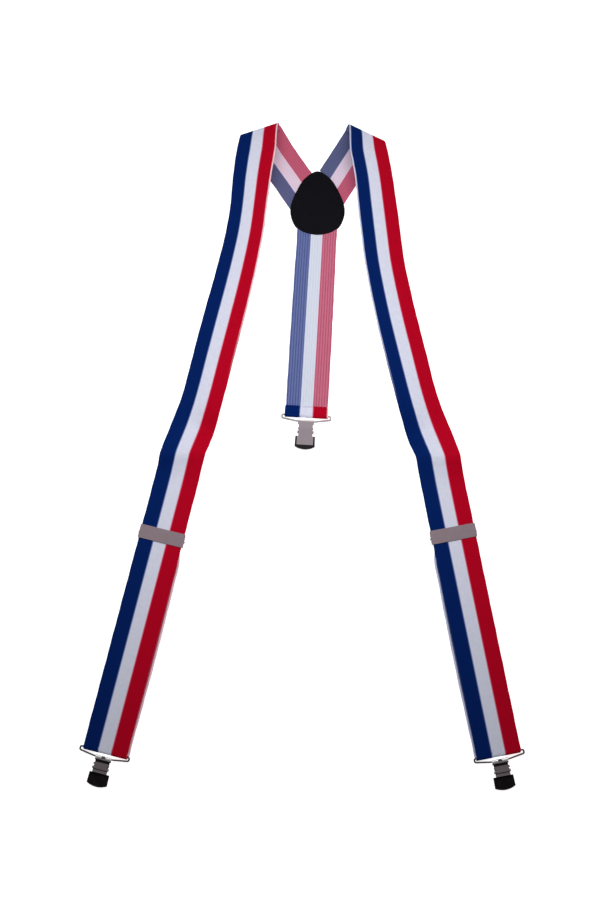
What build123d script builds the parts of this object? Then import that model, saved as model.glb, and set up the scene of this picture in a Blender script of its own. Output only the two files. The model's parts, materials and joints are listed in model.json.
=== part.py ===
"""Y-back suspenders of elastic webbing, laid out on a flat surface.

Millimetres, +Z up, +Y towards the shoulder folds, +X to the right with the clip levers of the two
front straps facing up. Plan positions are first given from the middle of the leather patch. At the
end everything is moved so that the origin is the middle of the base of the whole object's box.
"""
from build123d import *
from math import cos, sin, radians
import os

# ---- driving dimensions ------------------------------------------------------------------------
WEB_WIDTH = 50.5  # elastic webbing
WEB_THICK = 1.5
GAP = 0.3  # clearance between bodies that move on each other
LEATHER = 1.5  # thickness of each leather patch

PATCH_HALF_WIDTH = 32.0
PATCH_TOP = 38.0
PATCH_BOTTOM = -40.0
PATCH_WIDEST_Y = -14.0
BACK_STRAP_TOP = -22.0  # where the back strap starts under the patch
BACK_FOLD_Y = -44.0  # the back strap folds here, just below the patch

WIRE_R = 1.0  # clip bail
BAIL_HALF_WIDTH = 28.3
BAIL_SHORT_HALF = 11.2
BAIL_END = 4.2  # height of the bail's round ends beside the webbing
BAIL_REACH = 7.0  # from the webbing's bar to the clip's curl
CLIP_LENGTH = 40.2  # from the bail's bar to the end of the boot
CLIP_PLATE = 1.0
CLIP_HALF_WIDTH = 8.2
PIN_R = 0.9
PIN_Y = -19.3
PIN_Z = 1.9
EAR_R = 2.2
HINGE_CLEARANCE = 0.05
BARREL_R = 1.8  # the lever's round back, and the height of its plate above the pin
CURL_HALF = 9.3  # half the width of the curl that holds the bail
TONGUE_HALF = 9.5  # flat tongue inside the boot
TONGUE_END = 2.5  # from the tongue's end to the boot's end
BOOT_HALF = 11.7
BOOT_TOP = -24.7
BOOT_BACK_TOP = -35.0  # the boot's back is shorter than its front
BOOT_CORNER = 3.2  # the boot's round end is this deep
JAW_Y = -30.8  # where a waistband is gripped
LEVER_HALF = 9.3
LEVER_TIP_Y = -13.0
HEEL = 1.2  # the lever's plate runs this far past the pin
BRIDGE_TOP = PIN_Y - 2.25  # a bridge of sheet joins the ears, from here to the boot
LEVER_SHOULDER_Y = PIN_Y + 3.2  # the lever is wider than the gap between the ears from here up
ON_BASE = (Align.CENTER, Align.CENTER, Align.MIN)

ADJUSTER_HALF_WIDTH = 26.4
ADJUSTER_HEIGHT = 15.8
ADJUSTER_PLATE = 0.9
ADJUSTER_GROOVE_X = 12.8  # two pressed lines across the face

LOOP_R = 2.125  # mean radius of the webbing where it turns round a bail
RETURN_SHIFT = 1.8  # the returning layer lies this far towards the wearer's middle
CREST_HEIGHT = 14.0  # the old packing crease stands this high
CREST_LENGTH = 36.0
CREST_GAP = 0.45  # from the crease line to each half's end, so that the halves clear each other
CREST_START = 12.6  # the strap starts to rise more steeply this far before the crease
CREST_START_DROP = 3.6  # and is this much lower there
CREST_END_DROP = 0.1  # each half's end, below the crest
# Below the crease: shares of the crest's length and height, and how much the cross line follows the crease.
CREST_SLOPE = ((0.3, 0.42, 0.6), (0.7, 0.88, 0.15), (1.0, 1.0, 0.0))

RUN_START = -58.0  # cut end of the strap, from the run's point near the patch's edge
RUN_WIDTH = 46.2  # the strap lies slightly narrowed between the patch and the fold
MIDDLE_GAP = 0.2  # each long strap ends this far from the patch's middle line
BACK_CUT_WIDTH = 60.0  # and leaves this much room for the back strap's end
FAR = 600.0  # larger than the object, for cutting away whole regions
RUN_LEAVES = 5.0  # the strap leaves the patch's level here
RUN_LANDS = 22.0  # and lies on the table from here
SETTLE = 1.1  # the outer edge is this much lower at each point of the front

LOW_Z = WEB_THICK / 2  # middle of a layer that lies on the table
PATCH_Z = LEATHER + WEB_THICK / 2  # middle of a layer between the two leather patches
FRONT_Z = LOW_Z + 2 * LOOP_R  # middle of the outer layer of a front strap
BAR_Z = LOW_Z + LOOP_R  # axis of a front clip's bail bar
BACK_BAR_Z = PIN_Z + EAR_R  # the back clip lies on its ears, with its lever underneath

# The adjuster's origin is the middle of the webbing that it grips.
TRUNNION_Y = -1.2
TRUNNION_Z = -2.3
END_BAR_Y = -6.2
END_BAR_R = 0.7
SLEEVE_R = 1.9  # the returning layer's end round that bar
END_BAR_Z = -FRONT_Z + SLEEVE_R
ADJUSTER_EAR = 0.8

UP = Vector(0, 0, 1)
CREASE_AXIS = Vector(1, 0, 0)  # both straps were folded together, so the creases are in line

# Each side: where the strap leaves the patch, its fold over the shoulder, and the front run.
# Plan points are the middle of the strap; tilt is how far its inner edge is raised, in degrees.
SIDES = {
    "left": {
        "sign": -1,
        "run_point": (-28.6, 27.5),
        "run_angle": 123.9,
        "fold_outer_at": 78.5,
        "fold_inner_at": 63.5,
        "fold_outer_half": 21.4,
        "fold_outer_r": 1.9,
        "fold_inner_r": 4.0,
        "front": [
            (-72.6, 60.0, 22.0),
            (-77.3, 28.0, 24.0),
            (-80.2, 0.0, 28.0),
            (-85.1, -36.0, 26.0),
            (-92.6, -72.0, 22.0),
            (-101.2, -108.0, 18.0),
            (-110.2, -143.0, 15.0),
            (-119.0, -178.0, 15.0),
            (-137.2, -249.0, 13.0),
        ],
        "crease": (-155.4, -303.0),
        "bar": (-239.5, -641.2),
        "adjuster_below_crease": 97.4,
    },
    "right": {
        "sign": 1,
        "run_point": (30.4, 40.4),
        "run_angle": 58.3,
        "fold_outer_at": 52.3,
        "fold_inner_at": 45.9,
        "fold_outer_half": 23.1,
        "fold_outer_r": 1.9,
        "fold_inner_r": 4.0,
        "front": [
            (61.0, 58.0, 25.0),
            (66.3, 28.0, 25.0),
            (69.7, 0.0, 22.0),
            (73.9, -36.0, 20.0),
            (78.2, -72.0, 20.0),
            (84.8, -108.0, 18.0),
            (92.2, -143.0, 16.0),
            (100.5, -178.0, 15.0),
            (118.4, -249.0, 14.0),
        ],
        "crease": (137.8, -306.2),
        "bar": (202.4, -644.0),
        "adjuster_below_crease": 90.5,
    },
}
BACK_FOLD = (-1.0, BACK_FOLD_Y)
BACK_BAR = (-13.3, -256.9)
BACK_LANDS = ((GAP / 2, 0.0), (10.0, 0.8), (24.0, PATCH_Z - LOW_Z))  # below its fold: distance, drop
BACK_LIFTS = 50.0  # from the bar: the back strap starts to rise from the table
BACK_LIFTED = 20.0  # and has reached the clip's level
HEM_LENGTH = 11.0  # the back strap's folded end
HEM_STITCH_RISE = 0.35  # the hem slopes up from its end to its stitches


# ---- helpers -----------------------------------------------------------------------------------
def flat(point, z=0.0):
    return Vector(point[0], point[1], z)


def unit(start, end):
    return (flat(end) - flat(start)).normalized()


def ribbon(lines, thickness=WEB_THICK):
    """A strip of webbing through cross lines, each a pair of points on its two edges."""
    wires = []
    for i, (a, b) in enumerate(lines):
        before = lines[max(i - 1, 0)]
        after = lines[min(i + 1, len(lines) - 1)]
        along = (after[0] + after[1]) - (before[0] + before[1])
        half = (b - a).cross(along).normalized() * (thickness / 2)
        wires.append(Wire.make_polygon([a - half, b - half, b + half, a + half], close=True))
    return Solid.make_loft(wires, ruled=True)


def cross_line(middle, across, width=WEB_WIDTH, tilt=0.0):
    """The two edge points of a strap; across points to the inner edge, which tilt raises."""
    half = (across * cos(radians(tilt)) + UP * sin(radians(tilt))) * (width / 2)
    return middle - half, middle + half


def slab(x_half, y_low, y_high, z_low, z_high, x_middle=0.0):
    """A box from its limits, in a fitting's own frame."""
    size = (2 * x_half, y_high - y_low, z_high - z_low)
    middle = (x_middle, (y_low + y_high) / 2, (z_low + z_high) / 2)
    return Pos(*middle) * Box(*size)


def rod(radius, x_low, x_high, y, z):
    """A round bar across a fitting."""
    turned = Rot(0, 90, 0) * Cylinder(radius, x_high - x_low)
    return Pos((x_low + x_high) / 2, y, z) * turned


def half_ring(inner, outer, x_half, x_middle=0.0):
    """Webbing or sheet turned round a bar that lies along X, open towards +Y."""
    ring = rod(outer, x_middle - x_half, x_middle + x_half, 0, 0)
    ring -= rod(inner, x_middle - x_half - 1, x_middle + x_half + 1, 0, 0)
    return ring - slab(x_half + 2, 0, outer + 1, -outer - 1, outer + 1, x_middle)


def fitting_plane(start, end, z, face_up=True):
    """A fitting's frame: +Y back up the strap from end to start, +X to the right of it."""
    back = unit(end, start)
    right = back.cross(UP)
    if face_up:
        return Plane(origin=flat(end, z), x_dir=right, z_dir=UP)
    return Plane(origin=flat(end, z), x_dir=right * -1, z_dir=UP * -1)


def stitches(points, length=2.6, width=0.7, height=0.5):
    """Short raised stitches, each centred on a point and lying along the line of the points."""
    made = []
    for i, point in enumerate(points):
        step = points[min(i + 1, len(points) - 1)] - points[max(i - 1, 0)]
        plane = Plane(origin=point, x_dir=step.normalized(), z_dir=UP)
        made.append(plane.location * Pos(0, 0, height / 2) * Box(length, width, height))
    return Compound(children=made)


# ---- leather patch -----------------------------------------------------------------------------
def patch_outline(inset=0.0):
    """An egg with its narrow end up, drawn inset from the leather's edge."""
    w = PATCH_HALF_WIDTH - inset
    top = PATCH_TOP - inset
    low = PATCH_BOTTOM + inset
    right = [(0.42 * w, 0.8 * top), (0.77 * w, 0.36 * top), (w, PATCH_WIDEST_Y), (0.8 * w, 0.75 * low)]
    left = [(-x, y) for x, y in reversed(right)]
    ends = [(0, top), *right, (0, low), *left]
    return Spline([Vector(x, y, 0) for x, y in ends], periodic=True)


def patch_leaf(z):
    leaf = extrude(make_face(patch_outline()), LEATHER)
    return Pos(0, 0, z) * leaf.solids()[0]


def patch_stitching():
    edge = patch_outline(inset=3.2)
    count = int(edge.length / 4.2)
    points = [edge.position_at(i / count) for i in range(count)]
    raised = [Vector(p.X, p.Y, 2 * LEATHER + WEB_THICK) for p in points]
    return stitches(raised)


# ---- webbing -----------------------------------------------------------------------------------
def shoulder_strap(side):
    """From under the patch, over the shoulder fold, and down the front to the packing crease."""
    run = Vector(cos(radians(side["run_angle"])), sin(radians(side["run_angle"])), 0)
    inner = Vector(-run.Y, run.X, 0) * side["sign"]
    start = flat(side["run_point"])
    lines = []
    for at, z in ((RUN_START, PATCH_Z), (RUN_LEAVES, PATCH_Z), (RUN_LANDS, LOW_Z + GAP)):
        lines.append(cross_line(start + run * at + UP * z, inner, RUN_WIDTH))
    low = UP * (LOW_Z + GAP)
    outer_edge = start - inner * side["fold_outer_half"] + run * side["fold_outer_at"] + low
    inner_edge = start + inner * (RUN_WIDTH / 2) + run * side["fold_inner_at"] + low
    beyond = (inner_edge - outer_edge).cross(UP).normalized() * -side["sign"]
    for degrees in (0, 30, 60, 90, 120, 150, 180):
        turn = radians(degrees)
        edges = []
        for edge, r in ((outer_edge, side["fold_outer_r"]), (inner_edge, side["fold_inner_r"])):
            edges.append(edge + beyond * (r * sin(turn)) + UP * (r * (1 - cos(turn))))
        lines.append(tuple(edges))
    outer_z = lines[-1][0].Z
    front = side["front"]
    for i, (x, y, tilt) in enumerate(front):
        before = front[max(i - 1, 0)]
        after = front[i + 1] if i + 1 < len(front) else side["crease"]
        down = unit(before[:2], after[:2])
        across = down.cross(UP) * side["sign"]
        settle = max(outer_z - SETTLE * i, LOW_Z)
        middle = flat((x, y), settle + WEB_WIDTH / 2 * sin(radians(tilt)))
        lines.append(cross_line(middle, across, tilt=tilt))
    crease = flat(side["crease"], CREST_HEIGHT)
    last = unit(front[-1][:2], side["crease"])
    rising = crease - last * CREST_START - UP * CREST_START_DROP
    lines.append(crest_line(side, rising, last, 0.6))
    crest = crease - last * CREST_GAP - UP * CREST_END_DROP
    lines.append(crest_line(side, crest, over_crest(side), 1.0))
    strap = ribbon(lines)
    keep = Pos(side["sign"] * (FAR / 2 + MIDDLE_GAP), 0, 0) * Box(FAR, 3 * FAR, FAR)
    keep -= Pos(0, BACK_STRAP_TOP - FAR / 2, 0) * Box(BACK_CUT_WIDTH, FAR, FAR)
    return (strap & keep).solids()[0]


def over_crest(side):
    """The strap's plan direction at the crease, between those above and below it."""
    return (unit(side["front"][-1][:2], side["crease"]) + unit(side["crease"], side["bar"])).normalized()


def crest_line(side, middle, along, share):
    """A cross line near the crease. It's along X when share is 1, and square to the strap when it's 0."""
    square = along.cross(UP) * side["sign"]
    across = (square * (1 - share) + CREASE_AXIS * (-side["sign"] * share)).normalized()
    return cross_line(middle, across, WEB_WIDTH / across.dot(square))


def front_strap(side):
    """From the packing crease to the clip, in a straight line, over the returning layer."""
    down = unit(side["crease"], side["bar"])
    crease = flat(side["crease"], CREST_HEIGHT)
    bar = flat(side["bar"], FRONT_Z)
    drop = CREST_HEIGHT - FRONT_Z
    crest = crease + down * CREST_GAP - UP * CREST_END_DROP
    lines = [crest_line(side, crest, over_crest(side), 1.0)]
    for distance_share, drop_share, slant in CREST_SLOPE:
        spot = crease + down * (distance_share * CREST_LENGTH) - UP * (drop_share * drop)
        lines.append(crest_line(side, spot, down, slant))
    lines.append(crest_line(side, bar - down * (2 * LOOP_R), down, 0.0))
    return ribbon(lines)


def return_strap(side, length):
    """The layer that turns round the bail and goes back to the adjuster's end bar.

    In the clip's frame: the bar is along X at the origin.
    """
    shift = -RETURN_SHIFT * side["sign"]
    half = WEB_WIDTH / 2
    inner, outer = LOOP_R - WEB_THICK / 2, LOOP_R + WEB_THICK / 2
    turn = half_ring(inner, outer, half, shift)
    top = slab(half, 0, 2 * LOOP_R - GAP, inner, outer, shift)
    end_y = length + END_BAR_Y
    bottom = slab(half, 0, end_y - 2.5, -outer, -inner, shift)
    sleeve_half = WEB_WIDTH / 2 - 1.5
    sleeve = slab(sleeve_half, end_y - 3.5, end_y, -outer, -inner, shift / 2)
    ring = rod(SLEEVE_R, shift / 2 - sleeve_half, shift / 2 + sleeve_half, end_y, SLEEVE_R - outer)
    hole = rod(END_BAR_R + HINGE_CLEARANCE, -half - 9, half + 9, end_y, SLEEVE_R - outer)
    return (turn + top + bottom + sleeve + ring - hole).solids()[0]


def end_stitching(side, length):
    """Stitches that close the returning layer round the adjuster's end bar."""
    shift = -RETURN_SHIFT * side["sign"]
    y = length + END_BAR_Y - 3.2
    row = [Vector(shift / 2 - 20 + 4.0 * i, y, WEB_THICK - LOOP_R - WEB_THICK / 2) for i in range(11)]
    return stitches(row, length=2.4)


def back_strap_in_patch():
    """The back strap's end between the leather patches."""
    start = flat((0, BACK_STRAP_TOP - GAP), PATCH_Z)
    end = flat(BACK_FOLD, PATCH_Z)
    across = unit(BACK_BAR, BACK_FOLD).cross(UP)
    step = Vector(0, GAP / 2, 0)
    return ribbon([cross_line(start, Vector(1, 0, 0)), cross_line(end + step, across)])


def back_strap():
    """The back strap, whose end turns up round the clip's bail and is hemmed on top."""
    down = unit(BACK_FOLD, BACK_BAR)
    across = unit(BACK_BAR, BACK_FOLD).cross(UP)
    fold = flat(BACK_FOLD, PATCH_Z)
    bar = flat(BACK_BAR, 0)
    low = BACK_BAR_Z - LOOP_R
    lines = [cross_line(fold + down * distance - UP * drop, across) for distance, drop in BACK_LANDS]
    lines.append(cross_line(bar - down * BACK_LIFTS + UP * LOW_Z, across))
    lines.append(cross_line(bar - down * BACK_LIFTED + UP * low, across))
    lines.append(cross_line(bar + UP * low, across))
    for degrees in range(15, 180, 15):
        turn = radians(degrees)
        spot = bar + down * (LOOP_R * sin(turn)) + UP * (BACK_BAR_Z - LOOP_R * cos(turn))
        lines.append(cross_line(spot, across))
    lines.append(cross_line(bar + UP * (BACK_BAR_Z + LOOP_R), across))
    top = low + WEB_THICK + GAP
    loop_top = BACK_BAR_Z + LOOP_R
    for distance, height in ((3.0, loop_top - 0.3), (8.0, top + 0.5), (HEM_LENGTH, top)):
        lines.append(cross_line(bar - down * distance + UP * height, across))
    return ribbon(lines)


def hem_stitching():
    """Two rows of stitches that hold the hem, in the back clip's plan frame."""
    down = unit(BACK_FOLD, BACK_BAR)
    across = unit(BACK_BAR, BACK_FOLD).cross(UP)
    top = BACK_BAR_Z - LOOP_R + 1.5 * WEB_THICK + GAP
    spot = flat(BACK_BAR, top + HEM_STITCH_RISE) - down * (HEM_LENGTH - 1.6)
    return stitches([spot + across * (4.0 * i - 22) for i in range(12)], length=2.6)


# ---- clips: +Y goes back up the strap, the bail's bar is along X at the origin -----------------------
def clip_bail():
    x, y = BAIL_HALF_WIDTH, -BAIL_END
    corners = [(-x, 0), (x, 0), (x, y), (BAIL_SHORT_HALF, -BAIL_REACH)]
    corners += [(-BAIL_SHORT_HALF, -BAIL_REACH), (-x, y)]
    path = FilletPolyline(*corners, radius=1.6, close=True)
    wire_start = Plane(origin=path @ 0, z_dir=path % 0)
    return sweep(wire_start * Circle(WIRE_R), path).solids()[0]


def clip_base():
    """Sheet metal: a curl round the bail, a flat back, two ears and a tongue under the boot."""
    curl_outer = WIRE_R + HINGE_CLEARANCE + CLIP_PLATE
    curl_inner = WIRE_R + HINGE_CLEARANCE
    low, high = -curl_outer, -curl_outer + CLIP_PLATE
    curl = rod(curl_outer, -CURL_HALF, CURL_HALF, -BAIL_REACH, 0)
    back = slab(CURL_HALF, -BAIL_REACH - 4, -BAIL_REACH, low, high)
    back += slab(CLIP_HALF_WIDTH, BOOT_TOP - 3, -BAIL_REACH - 3, low, high)
    back += slab(TONGUE_HALF, -CLIP_LENGTH + TONGUE_END, BOOT_TOP, low, high)
    bridge_low = PIN_Z + BARREL_R - CLIP_PLATE
    back += slab(CLIP_HALF_WIDTH, BOOT_TOP + 0.1, BRIDGE_TOP, bridge_low, bridge_low + CLIP_PLATE)
    for x in (-1, 1):
        ear_middle = x * (CLIP_HALF_WIDTH - CLIP_PLATE / 2)
        foot = slab(CLIP_PLATE / 2, BOOT_TOP, PIN_Y + 2.6, low, PIN_Z, ear_middle)
        foot += slab(CLIP_PLATE / 2, BOOT_TOP, BRIDGE_TOP, low, bridge_low + CLIP_PLATE, ear_middle)
        back += foot + rod(EAR_R, ear_middle - CLIP_PLATE / 2, ear_middle + CLIP_PLATE / 2, PIN_Y, PIN_Z)
    body = curl + back
    body -= rod(curl_inner, -CURL_HALF - 1, CURL_HALF + 1, -BAIL_REACH, 0)
    gap_corner = Pos(0, -BAIL_REACH - curl_outer, 0.3) * Box(2 * CURL_HALF + 2, 2 * curl_outer, 1.0)
    body -= gap_corner
    window = slab(2.2, -BAIL_REACH - 1.2, -BAIL_REACH + 1.2, curl_inner - 0.5, curl_outer + 1)
    body -= window
    body -= rod(PIN_R, -20, 20, PIN_Y, PIN_Z)
    return body.solids()[0]


def clip_pin():
    """A rivet through the ears with a small head at each end."""
    pin = rod(PIN_R, -CLIP_HALF_WIDTH - 1, CLIP_HALF_WIDTH + 1, PIN_Y, PIN_Z)
    for x in (-1, 1):
        ends = sorted((x * CLIP_HALF_WIDTH, x * (CLIP_HALF_WIDTH + 1.4)))
        pin += rod(1.5, ends[0], ends[1], PIN_Y, PIN_Z)
    return pin.solids()[0]


def clip_lever():
    """A thumb plate with a toothed cam that turns on the pin."""
    between_ears = CLIP_HALF_WIDTH - CLIP_PLATE - 0.4
    plate_low = PIN_Z + BARREL_R - CLIP_PLATE
    plate = slab(between_ears, PIN_Y, LEVER_SHOULDER_Y + 1, plate_low, PIN_Z + BARREL_R)
    wide = slab(LEVER_HALF, LEVER_SHOULDER_Y, LEVER_TIP_Y, plate_low, PIN_Z + BARREL_R)
    wide = fillet(wide.edges().filter_by(Axis.Z).group_by(Axis.Y)[-1], 2.6)
    barrel = rod(BARREL_R, -between_ears, between_ears, PIN_Y, PIN_Z)
    heel = slab(between_ears, PIN_Y - HEEL, PIN_Y, PIN_Z, PIN_Z + BARREL_R)
    lever = plate + wide + barrel + heel
    cam = slab(between_ears, PIN_Y - 0.9, PIN_Y + 0.9, PIN_Z - 2.35, PIN_Z)
    lever += cam
    for i in range(7):
        x = -between_ears + 0.7 + i * (2 * between_ears - 1.4) / 6
        tooth = Pos(x, PIN_Y, PIN_Z - 2.35) * Rot(180, 0, 0) * Cone(0.55, 0.15, 0.3, align=ON_BASE)
        lever += tooth
    lever -= rod(PIN_R + HINGE_CLEARANCE, -20, 20, PIN_Y, PIN_Z)
    return lever.solids()[0]


def clip_boot():
    """A moulded cap over the end of the clip's tongue, longer on its front than on its back."""
    half, start, end = BOOT_HALF, BOOT_TOP, -CLIP_LENGTH
    corner = end + BOOT_CORNER
    tongue_low = -(WIRE_R + HINGE_CLEARANCE + CLIP_PLATE)
    outline = Polyline((-half, corner), (-half + 0.3, start), (half - 0.3, start), (half, corner))
    rounding = ThreePointArc((half, corner), (0, end), (-half, corner))
    face = make_face([*outline.edges(), rounding.edge()])
    cap = Pos(0, 0, tongue_low - 0.8) * extrude(face, 3.5)
    cap = fillet(cap.edges().group_by(Axis.Z)[-1], 0.9)
    cap -= slab(TONGUE_HALF, end + TONGUE_END, start + 1, tongue_low, tongue_low + CLIP_PLATE)
    cap -= slab(half + 1, BOOT_BACK_TOP, start + 1, tongue_low - 2, tongue_low)
    return cap.solids()[0]


# ---- adjuster: its origin is the middle of the webbing that it grips ---------------------------------
def adjuster_plate():
    """A flat face with an ear bent down at each end, past the edges of the webbing."""
    low = WEB_THICK / 2 + GAP
    half = ADJUSTER_HEIGHT / 2
    face = slab(ADJUSTER_HALF_WIDTH, -half, half, low, low + ADJUSTER_PLATE)
    face = fillet(face.edges().filter_by(Axis.Z), 1.3)
    for x in (-ADJUSTER_GROOVE_X, ADJUSTER_GROOVE_X):
        face -= slab(0.2, -half, half, low + ADJUSTER_PLATE - 0.12, low + ADJUSTER_PLATE + 1, x)
    for x in (-1, 1):
        middle = x * (ADJUSTER_HALF_WIDTH - ADJUSTER_EAR / 2)
        face += slab(ADJUSTER_EAR / 2, END_BAR_Y - 0.4, half - 1.8, -FRONT_Z + 0.4, low + 0.1, middle)
        face += rod(1.6, middle - ADJUSTER_EAR / 2, middle + ADJUSTER_EAR / 2, END_BAR_Y, END_BAR_Z)
    face -= rod(END_BAR_R, -40, 40, END_BAR_Y, END_BAR_Z)
    face -= rod(PIN_R + HINGE_CLEARANCE, -40, 40, TRUNNION_Y, TRUNNION_Z)
    return face.solids()[0]


def adjuster_lever():
    """The toothed lever behind the webbing, with a round lug through each ear."""
    half = ADJUSTER_HALF_WIDTH - ADJUSTER_EAR - 0.4
    lever = rod(1.3, -half, half, TRUNNION_Y, TRUNNION_Z)
    lever += slab(half, TRUNNION_Y, 6.4, TRUNNION_Z - 1.3, TRUNNION_Z - 0.3)
    for i in range(17):
        x = -half + 1 + i * (half - 1) / 8
        lever += Pos(x, TRUNNION_Y, TRUNNION_Z + 1.2) * Cone(0.5, 0.1, 0.3, align=ON_BASE)
    lever += rod(PIN_R, -ADJUSTER_HALF_WIDTH - 0.9, ADJUSTER_HALF_WIDTH + 0.9, TRUNNION_Y, TRUNNION_Z)
    return lever.solids()[0]


def adjuster_end_bar():
    """The fixed bar that the returning layer is sewn round."""
    return rod(END_BAR_R, -ADJUSTER_HALF_WIDTH, ADJUSTER_HALF_WIDTH, END_BAR_Y, END_BAR_Z).solid()


# ---- assembly ------------------------------------------------------------------------------------
def place(plane, shape):
    return plane.location * shape


def add_clip(nodes, pivots, name, plane):
    parts = {"bail": clip_bail(), "base": clip_base(), "pin": clip_pin()}
    parts.update({"lever": clip_lever(), "boot": clip_boot()})
    for part, shape in parts.items():
        nodes[f"{name}_clip_{part}"] = place(plane, shape)
    pivots[f"{name}_bail_swing"] = (plane.origin, plane.x_dir)
    pivots[f"{name}_clip_swing"] = (plane.from_local_coords(Vector(0, -BAIL_REACH, 0)), plane.x_dir)
    pivots[f"{name}_clip_lever"] = (plane.from_local_coords(Vector(0, PIN_Y, PIN_Z)), plane.x_dir)
    pivots[f"{name}_jaw"] = (plane.from_local_coords(Vector(0, JAW_Y, 0)), plane.z_dir)


def build():
    nodes = {
        "patch_back": patch_leaf(0),
        "patch_front": patch_leaf(LEATHER + WEB_THICK),
        "patch_stitching": patch_stitching(),
        "back_strap_in_patch": back_strap_in_patch(),
        "back_strap": back_strap(),
        "hem_stitching": hem_stitching(),
    }
    pivots = {}
    for name, side in SIDES.items():
        nodes[f"{name}_shoulder_strap"] = shoulder_strap(side)
        nodes[f"{name}_front_strap"] = front_strap(side)
        clip = fitting_plane(side["crease"], side["bar"], BAR_Z)
        run = (flat(side["bar"]) - flat(side["crease"])).length
        to_adjuster = run - side["adjuster_below_crease"]
        nodes[f"{name}_return_strap"] = place(clip, return_strap(side, to_adjuster))
        nodes[f"{name}_end_stitching"] = place(clip, end_stitching(side, to_adjuster))
        middle = clip.from_local_coords(Vector(0, to_adjuster, LOOP_R))
        adjuster = Plane(origin=middle, x_dir=clip.x_dir, z_dir=UP)
        nodes[f"{name}_adjuster_plate"] = place(adjuster, adjuster_plate())
        nodes[f"{name}_adjuster_lever"] = place(adjuster, adjuster_lever())
        nodes[f"{name}_adjuster_end_bar"] = place(adjuster, adjuster_end_bar())
        add_clip(nodes, pivots, name, clip)
        fold = flat(side["crease"], CREST_HEIGHT + WEB_THICK / 2)
        pivots[f"{name}_strap_fold"] = (fold, CREASE_AXIS)
        pivots[f"{name}_slide"] = (middle, clip.y_dir * -1)
        hinge = adjuster.from_local_coords(Vector(0, TRUNNION_Y, TRUNNION_Z))
        pivots[f"{name}_adjuster_lever"] = (hinge, clip.x_dir)
    back = fitting_plane(BACK_FOLD, BACK_BAR, BACK_BAR_Z, face_up=False)
    add_clip(nodes, pivots, "back", back)
    fold = flat(BACK_FOLD, PATCH_Z + WEB_THICK / 2)
    pivots["back_strap_fold"] = (fold, unit(BACK_BAR, BACK_FOLD).cross(UP))
    return nodes, pivots


def main():
    os.makedirs("parts", exist_ok=True)
    nodes, pivots = build()
    boxes = [shape.bounding_box() for shape in nodes.values()]
    low = Vector(*(min(getattr(box.min, axis) for box in boxes) for axis in "XYZ"))
    high = Vector(*(max(getattr(box.max, axis) for box in boxes) for axis in "XYZ"))
    origin = Vector((low.X + high.X) / 2, (low.Y + high.Y) / 2, low.Z)
    for name, shape in nodes.items():
        export_step(Pos(-origin.X, -origin.Y, -origin.Z) * shape, f"parts/{name}.step")
    print("size_mm", [round(v, 2) for v in high - low])
    print("patch_middle_mm", [round(v, 3) for v in origin * -1])
    for name, (point, axis) in pivots.items():
        print("pivot", name, [round(v, 3) for v in point - origin], [round(v, 5) for v in axis])


main()
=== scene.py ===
"""Looks of the Y-back suspenders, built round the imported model. Metres, +Z up, in the model's frame.

Plan positions are given in millimetres from the middle of the leather patch and turned into the
model's frame by place(). The webbing is one strip in three stripes, woven smooth on its outer face
and ribbed along its length on its inner face.
"""
import json
from math import ceil, cos, hypot, pi, radians, sin

import bpy
import numpy as np
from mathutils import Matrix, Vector


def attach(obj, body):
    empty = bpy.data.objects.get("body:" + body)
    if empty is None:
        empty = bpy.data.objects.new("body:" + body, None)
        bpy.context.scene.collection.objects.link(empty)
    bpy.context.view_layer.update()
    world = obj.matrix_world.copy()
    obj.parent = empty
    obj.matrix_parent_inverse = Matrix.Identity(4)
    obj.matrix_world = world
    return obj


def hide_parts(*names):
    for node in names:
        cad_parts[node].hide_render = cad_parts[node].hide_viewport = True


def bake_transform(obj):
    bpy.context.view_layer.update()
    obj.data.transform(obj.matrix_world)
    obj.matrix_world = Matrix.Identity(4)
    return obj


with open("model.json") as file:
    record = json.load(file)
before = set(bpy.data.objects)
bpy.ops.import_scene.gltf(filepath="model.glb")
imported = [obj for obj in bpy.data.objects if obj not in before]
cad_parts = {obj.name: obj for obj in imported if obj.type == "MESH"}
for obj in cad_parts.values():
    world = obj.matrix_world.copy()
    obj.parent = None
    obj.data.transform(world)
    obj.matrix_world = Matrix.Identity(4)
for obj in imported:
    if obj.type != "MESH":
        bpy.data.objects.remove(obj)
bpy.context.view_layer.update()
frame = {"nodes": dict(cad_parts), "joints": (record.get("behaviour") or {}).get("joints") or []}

# ---- sizes shared with the model, in millimetres ---------------------------------------------------
MM = 0.001
WEB_WIDTH = 50.5
WEB_THICK = 1.5
LEATHER = 1.5
LOOP_R = 2.125
RETURN_SHIFT = 1.8
CREST_HEIGHT = 14.0
RETURN_DRIFT = 1.6  # the returning layer lies this much further over, half way along it
HEM_LENGTH = 11.0
RUN_WIDTH = 46.2  # the strap between the patch and the shoulder lies slightly narrowed
LIFT = 0.05  # keeps the lowest cloth just off the floor
LOW_Z = WEB_THICK / 2
PATCH_Z = LEATHER + WEB_THICK / 2
FRONT_Z = LOW_Z + 2 * LOOP_R
BAR_Z = LOW_Z + LOOP_R
BACK_BAR_Z = 4.1
PATCH_HALF_WIDTH = 32.0
PATCH_TOP = 38.0
PATCH_BOTTOM = -40.0
PATCH_WIDEST_Y = -14.0
BACK_STRAP_TOP = -22.0  # the back strap's end, between the two leathers
BACK_FOLD = (-1.0, -44.0)
BACK_BAR = (-13.3, -256.9)

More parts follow.
